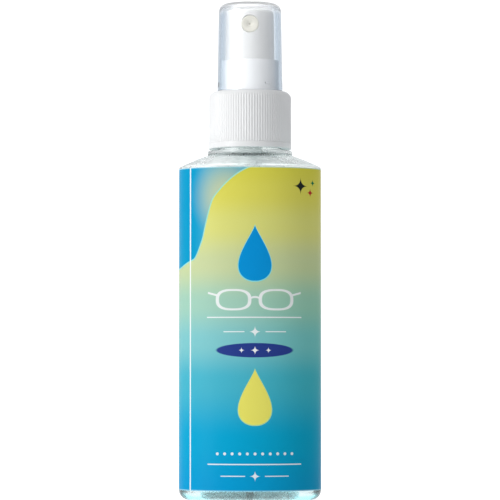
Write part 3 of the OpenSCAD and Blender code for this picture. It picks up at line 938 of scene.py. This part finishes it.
def make_closure(materials):
    """Closure and turret in one moulding: grip ribs outside, a screw thread inside."""
    depth, band, edge = 0.16, 2.0, 2.3
    per_rib = 8
    core = CLOSURE_R - depth
    rib_low, rib_high = CLOSURE_Z + band, PLATE_TOP - edge
    lip = 0.3
    profile = [(CLOSURE_BORE_R + 0.3, CLOSURE_Z)]
    profile += arc((CLOSURE_R + 0.05 - lip, CLOSURE_Z + lip), lip, -90, 0, 4)
    profile += [(CLOSURE_R + 0.05, rib_low - 0.25)]
    profile += arc((CLOSURE_R - 0.1, rib_low - 0.15), 0.15, 0, 80, 3)
    ribs_start = len(profile)
    profile += [(core, rib_low), (core, rib_low + 0.15)]
    profile += spread((core, rib_low + 0.15), (core, rib_high), 4)
    for i in range(1, 11):
        a = math.radians(90 * i / 10)
        profile.append((core - edge * (1 - math.cos(a)), rib_high + edge * math.sin(a)))
    ribs_end = len(profile)
    round_r = 0.35
    profile += [(TURRET_R + 0.9, PLATE_TOP)]
    profile += arc((TURRET_R + round_r, PLATE_TOP + round_r), round_r, 270, 180, 4)
    profile += spread((TURRET_R, PLATE_TOP + round_r), (TURRET_R, TURRET_TOP - 0.35), 6)
    profile += arc((TURRET_R - 0.35, TURRET_TOP - 0.35), 0.35, 10, 90, 5)
    profile += arc((TURRET_BORE_R + 0.25, TURRET_TOP - 0.25), 0.25, 90, 180, 4)
    profile += [(TURRET_BORE_R, TURRET_TOP - 1), (TURRET_BORE_R, PLATE_TOP + 0.3)]
    profile += [(TURRET_BORE_R - 0.3, PLATE_TOP)]
    hole = 7.15
    profile += [(hole + 0.15, PLATE_TOP), (hole, PLATE_TOP - 0.15)]
    profile += [(hole, CEILING + 0.15), (hole + 0.15, CEILING)]
    profile += [(CLOSURE_BORE_R - 0.5, CEILING), (CLOSURE_BORE_R, CEILING - 0.5)]
    rows = int(64 * FINE)
    thread_rows = len(profile)
    profile += spread((CLOSURE_BORE_R, CEILING - 0.5), (CLOSURE_BORE_R, CLOSURE_Z + 0.3), rows)

    # how full the ribs are at each point of the outline that has them
    fullness = {}
    for r, z in profile[ribs_start:ribs_end]:
        start = smooth_step(rib_low, rib_low + 0.12, z)
        fullness[(round(r, 6), round(z, 6))] = start * smooth_step(rib_high + 1.5, rib_high + 0.2, z)
    thread = thread_shape(THREAD_Z - THREAD_LEAD / 2, THREAD_DEPTH - 0.1)
    inside = {(round(r, 6), round(z, 6)) for r, z in profile[thread_rows:]}

    def shape(angle, r, z):
        key = (round(r, 6), round(z, 6))
        if key in fullness:
            phase = (angle * RIBS / TURN) % 1
            crest = 0.5 - 0.5 * math.cos(TURN * phase)
            return depth * fullness[key] * crest
        if key in inside:
            return -thread(angle, z)
        return 0

    verts, faces = skin(turned(profile, RIBS * per_rib, shape), True)
    obj = mesh_object("ribbed_closure", verts, faces, 40)
    obj.data.materials.append(materials["white"])
    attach(obj, "closure")
    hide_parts("closure")


# ---------------------------------------------------------------- actuator and nozzle


def cut(obj, cutter, operation="DIFFERENCE"):
    """Applies a boolean with the cutter, and removes the cutter."""
    modifier = obj.modifiers.new("cut", "BOOLEAN")
    modifier.operation = operation
    modifier.solver = "EXACT"
    modifier.object = cutter
    bpy.context.view_layer.update()
    graph = bpy.context.evaluated_depsgraph_get()
    mesh = bpy.data.meshes.new_from_object(obj.evaluated_get(graph))
    obj.modifiers.clear()
    obj.data = mesh
    bpy.data.objects.remove(cutter)
    bm = bmesh.new()
    bm.from_mesh(mesh)
    bmesh.ops.remove_doubles(bm, verts=bm.verts, dist=0.002 * MM)
    for edge in bm.edges:
        edge.smooth = edge.calc_face_angle(0) < math.radians(32)
    for face in bm.faces:
        face.smooth = True
    bm.to_mesh(mesh)
    bm.free()


def nozzle_axis():
    return (INSERT_LOW.z + INSERT_HIGH.z) / 2


def along_y(obj, y, z):
    """Turns a piece that was made along +Z to point along -Y, and puts its origin at that place."""
    for vert in obj.data.vertices:
        p = vert.co.copy()
        vert.co = Vector((p.x, y * MM - p.z, z * MM + p.y))
    obj.data.update()


def make_actuator(materials):
    """The finger button: a dished top, a hollow skirt, and a hub that holds the stem."""
    low, top = ACTUATOR_LOW.z, ACTUATOR_HIGH.z
    r_low, r_top = ACTUATOR_HIGH.x, ACTUATOR_HIGH.x - 0.35
    wall, edge = 1.3, 1.0
    dish = 0.8
    stem_r, hub_r, hub_foot = 2.02, 3.5, low + 3.4
    roof = top - dish - wall

    def side(z):
        return mix(r_low, r_top, (z - low) / (top - low))

    profile = arc((r_low - 0.25, low + 0.25), 0.25, -90, 0, 3)
    profile += spread((r_low, low + 0.25), (side(top - edge), top - edge), 30)
    profile += arc((r_top - edge, top - edge), edge, 8, 84, 8)
    dish_r = r_top - edge - 0.5
    profile += [(dish_r, top - 0.03)]
    for i in range(1, 12):
        t = i / 12
        profile.append((dish_r * (1 - t) + AXIS_R, top - 0.03 - (dish - 0.03) * (1 - (1 - t) ** 2)))
    outer = profile + [(AXIS_R, top - dish)]
    duct_r, duct_top, duct_foot = 0.8, nozzle_axis() - 1.5, nozzle_axis() - 5
    inner = [(AXIS_R, duct_top), (duct_r, duct_top), (duct_r, duct_foot), (stem_r, duct_foot - 0.05)]
    inner += [(stem_r, hub_foot + 0.2), (stem_r + 0.2, hub_foot)]
    inner += [(hub_r - 0.2, hub_foot), (hub_r, hub_foot + 0.2), (hub_r, roof - 0.6)]
    inner += arc((hub_r + 0.6, roof - 0.6), 0.6, 180, 90, 4)
    inner_side = side(roof) - wall
    inner += arc((inner_side - 0.8, roof - 0.8), 0.8, 90, 0, 4)
    inner += [(r_low - wall, low + 0.3), (r_low - wall + 0.3, low)]
    verts, faces = skin(turned(inner + outer, int(256 * FINE)))
    obj = mesh_object("finger_actuator", verts, faces, 34)
    # a boss joins hub and skirt; the insert sits in its well, round a post
    well_r, well_l = INSERT_HIGH.x + 0.03, INSERT_HIGH.y - INSERT_LOW.y + 0.3
    post_r, post_l, bevel = INSERT_HIGH.x / 2, well_l - 1, 0.25
    floor_y = INSERT_LOW.y + well_l
    core, boss_r = 0.05, well_r + 0.9
    boss_back, boss_front = -floor_y - 2.4, r_top - wall / 2 - 0.3
    boss_profile = [(core, boss_back), (boss_r, boss_back), (boss_r, boss_front), (core, boss_front)]
    verts, faces = skin(turned(boss_profile, int(96 * FINE)))
    boss = mesh_object("boss", verts, faces)
    along_y(boss, 0, nozzle_axis())
    cut(obj, boss, "UNION")
    cutter_profile = [(core, post_l), (post_r, post_l), (post_r, 0)]
    cutter_profile += [(well_r, 0), (well_r, well_l - bevel)]
    cutter_profile += [(well_r + bevel, well_l + 0.05), (well_r + bevel, well_l + 3), (core, well_l + 3)]
    verts, faces = skin(turned(cutter_profile, int(96 * FINE)))
    cutter = mesh_object("cutter", verts, faces)
    along_y(cutter, floor_y, nozzle_axis())
    cut(obj, cutter)
    obj.data.materials.append(materials["button"])
    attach(obj, "spray_head")
    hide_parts("actuator")


def make_insert(materials):
    """The nozzle insert: a small cup with a dished face and the spray hole in its middle."""
    r, length = INSERT_HIGH.x, INSERT_HIGH.y - INSERT_LOW.y
    hole, post = 0.2, r / 2 + 0.05
    profile = [(hole, -0.62), (hole + 0.25, -0.4), (0.75, -0.34), (1.0, -0.3)]
    profile += [(1.15, -0.16), (1.5, -0.1), (r * 0.62, -0.06)]
    profile += [(r * 0.7, 0), (r - 0.22, 0)]
    profile += arc((r - 0.22, -0.22), 0.22, 80, 0, 4)
    profile += [(r, -length + 0.2), (r - 0.2, -length), (post, -length)]
    profile += [(post, -0.9), (hole + 0.3, -0.9)]
    verts, faces = skin(turned(profile, int(96 * FINE)), True)
    obj = mesh_object("spray_insert", verts, faces, 30)
    along_y(obj, INSERT_LOW.y, nozzle_axis())
    obj.data.materials.append(materials["cream"])
    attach(obj, "spray_head")
    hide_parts("nozzle_insert")


# ---------------------------------------------------------------- overcap


def make_overcap(materials):
    """The clear cap: thin, slightly tapered, with a domed top and six snap lugs."""
    low, top = OVERCAP_LOW.z, OVERCAP_HIGH.z
    r_low, r_top = OVERCAP_HIGH.x, OVERCAP_HIGH.x - 0.5
    wall, roof, edge, dome = 0.95, 1.2, 2.7, 0.4
    lug_low, lug_high, lug_count, lug_arc = low + 1.8, low + 3.1, 6, 16

    def outline(r0, r1, height, bend, steps):
        knee = height - dome - bend
        points = spread((r0, low + 0.2), (r1, knee), 12)
        points += arc((r1 - bend, knee), bend, 6, 84, steps)
        flat_r = points[-1][0]
        for i in range(1, 9):
            t = i / 8
            points.append((flat_r * (1 - t) + AXIS_R, height - dome * (1 - t) ** 2 * 0.9))
        return points

    outer = [(r_low - 0.15, low), (r_low, low + 0.15)] + outline(r_low, r_top, top, edge, 12)
    inner = outline(r_low - wall, r_top - wall, top - roof, edge - wall, 10)
    rows = int(26 * FINE)
    foot = (r_low - wall, low + 0.3)
    rise = mix(r_low - wall, r_top - wall, 0.12)
    inner_low = spread((rise, low + 3.6), foot, rows)
    inner = [p for p in inner if p[1] > low + 3.6]
    profile = inner[::-1] + inner_low + [(r_low - wall + 0.15, low)] + outer
    reach = r_low - wall - (TURRET_R + 0.12)

    def shape(angle, r, z):
        if not (lug_low - 0.2 < z < lug_high + 0.2) or r > r_low - wall + 0.02:
            return 0
        phase = (math.degrees(angle) - 58) % (360 / lug_count)
        across = smooth_step(-0.1, 4, phase) * smooth_step(lug_arc, lug_arc - 4, phase)
        up = smooth_step(lug_low - 0.2, lug_low + 0.65, z)
        return -reach * across * up * smooth_step(lug_high + 0.2, lug_high - 0.65, z)

    verts, faces = skin(turned(profile, int(360 * FINE), shape))
    obj = mesh_object("clear_overcap", verts, faces, 45)
    obj.data.materials.append(materials["overcap"])
    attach(obj, "overcap")
    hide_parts("overcap")


# ---------------------------------------------------------------- spring and the CAD nodes that stay


def make_spring(materials):
    """The return spring, wound smoothly, with its end turns closed."""
    turns, sides = 9, 12
    radius = SPRING_HIGH.x - WIRE_R
    low, high = SPRING_LOW.z + WIRE_R, SPRING_HIGH.z - WIRE_R
    close = 2.1 * WIRE_R
    opened = (high - low - 2 * close) / (turns - 2)
    steps = int(turns * 40 * FINE)
    rings = []
    for i in range(steps + 1):
        turn = turns * i / steps
        rise = close * (min(turn, 1) + max(turn - turns + 1, 0))
        rise += opened * min(max(turn - 1, 0), turns - 2)
        a = TURN * turn
        ring = []
        for j in range(sides):
            b = TURN * j / sides
            r = radius + WIRE_R * math.cos(b)
            ring.append((r * math.cos(a), r * math.sin(a), low + rise + WIRE_R * math.sin(b)))
        rings.append(ring)
    verts, faces = skin(rings)
    obj = mesh_object("return_coil", verts, faces, 60)
    obj.data.materials.append(materials["spring"])
    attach(obj, "pump_engine")
    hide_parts("return_spring")
    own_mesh(obj)


def finish_cad_nodes(materials):
    """Better materials for the inner pieces whose CAD shape is right."""
    chosen = {
        "pump_housing": "natural",
        "housing_cap": "natural",
        "stem_seal": "rubber",
        "neck_gasket": "foam",
        "dip_tube": "tube",
        "inlet_ball": "ball",
        "piston": "soft",
        "poppet": "soft",
        "stem": "natural",
    }
    for node, key in chosen.items():
        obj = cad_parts[node]
        obj.data.materials.clear()
        obj.data.materials.append(materials[key])


# ---------------------------------------------------------------- stage, light and camera


def seen(tree):
    """1 for rays that look at the studio, straight or through something clear, and 0 for its light."""
    path = tree.nodes.new("ShaderNodeLightPath")
    camera, through, gloss = (
        Value(tree, path.outputs["Is " + kind + " Ray"]) for kind in ("Camera", "Transmission", "Glossy")
    )
    return camera.most(through).most(gloss * 0.45)


def make_stage():
    """A pale floor that curves up into a backdrop."""
    half, front, back, bend, height = 3000, -1600, 1500, 500, 2600
    profile = [(front, 0)] + [(mix(front, back - bend, i / 8), 0) for i in range(1, 9)]
    for i in range(1, 13):
        a = math.radians(90 * i / 12)
        profile.append((back - bend + bend * math.sin(a), bend * (1 - math.cos(a))))
    profile.append((back, height))
    verts = [(x, y, z) for y, z in profile for x in (-half, half)]
    faces = [(2 * i, 2 * i + 1, 2 * i + 3, 2 * i + 2) for i in range(len(profile) - 1)]
    obj = mesh_object("studio_floor", verts, faces, 60)
    material, tree, shader = new_material("studio_paper")
    shader.inputs["Base Color"].default_value = (0.6, 0.605, 0.61, 1)
    shader.inputs["Roughness"].default_value = 0.9
    shader.inputs["Emission Color"].default_value = (0.97, 0.985, 1, 1)
    plug(tree, seen(tree) * 0.52 + 0.3, shader.inputs["Emission Strength"])
    plug(tree, bump(tree, noise(tree, 300, 3), 0.05, 0.05), shader.inputs["Normal"])
    obj.data.materials.append(material)


def area_light(name, place, target, size, power, tint=(1, 1, 1)):
    data = bpy.data.lights.new(name, "AREA")
    data.shape = "RECTANGLE"
    data.size, data.size_y = size
    data.energy = power
    data.color = tint
    obj = bpy.data.objects.new(name, data)
    obj.location = place
    obj.rotation_euler = (Vector(target) - Vector(place)).to_track_quat("-Z", "Y").to_euler()
    obj.visible_camera = False
    bpy.context.scene.collection.objects.link(obj)


def make_lights():
    middle = (0, 0, 0.09)
    area_light("key", (-0.85, -0.55, 0.4), middle, (0.5, 0.9), 6.6, (1, 0.998, 0.99))
    area_light("top", (-0.2, 0.0, 1.2), middle, (0.7, 0.7), 2.6)
    world = bpy.data.worlds.new("studio")
    world.use_nodes = True
    tree = world.node_tree
    background = tree.nodes["Background"]
    background.inputs["Color"].default_value = (0.97, 0.98, 1.0, 1)
    plug(tree, seen(tree) * 0.7 + 0.4, background.inputs["Strength"])
    bpy.context.scene.world = world


CAMERA_AWAY = 974.0
CAMERA_UP = 48.0
CAMERA_AIM = 86.15
LENS = 202.6


def make_camera():
    data = bpy.data.cameras.new("camera")
    data.sensor_width = 36
    data.lens = LENS
    data.clip_start, data.clip_end = 0.05, 20
    obj = bpy.data.objects.new("camera", data)
    place = Vector((0, -CAMERA_AWAY, CAMERA_UP)) * MM
    aim = Vector((0, 0, CAMERA_AIM)) * MM
    obj.location = place
    obj.rotation_euler = (aim - place).to_track_quat("-Z", "Y").to_euler()
    bpy.context.scene.collection.objects.link(obj)
    bpy.context.scene.camera = obj
    bpy.context.scene.view_settings.view_transform = "Standard"


def main():
    make_camera()
    make_stage()
    make_lights()
    materials = make_materials()
    make_bottle(materials)
    make_label(materials)
    make_fluid(materials)
    make_droplets(materials)
    make_closure(materials)
    make_actuator(materials)
    make_insert(materials)
    make_overcap(materials)
    make_spring(materials)
    finish_cad_nodes(materials)


main()
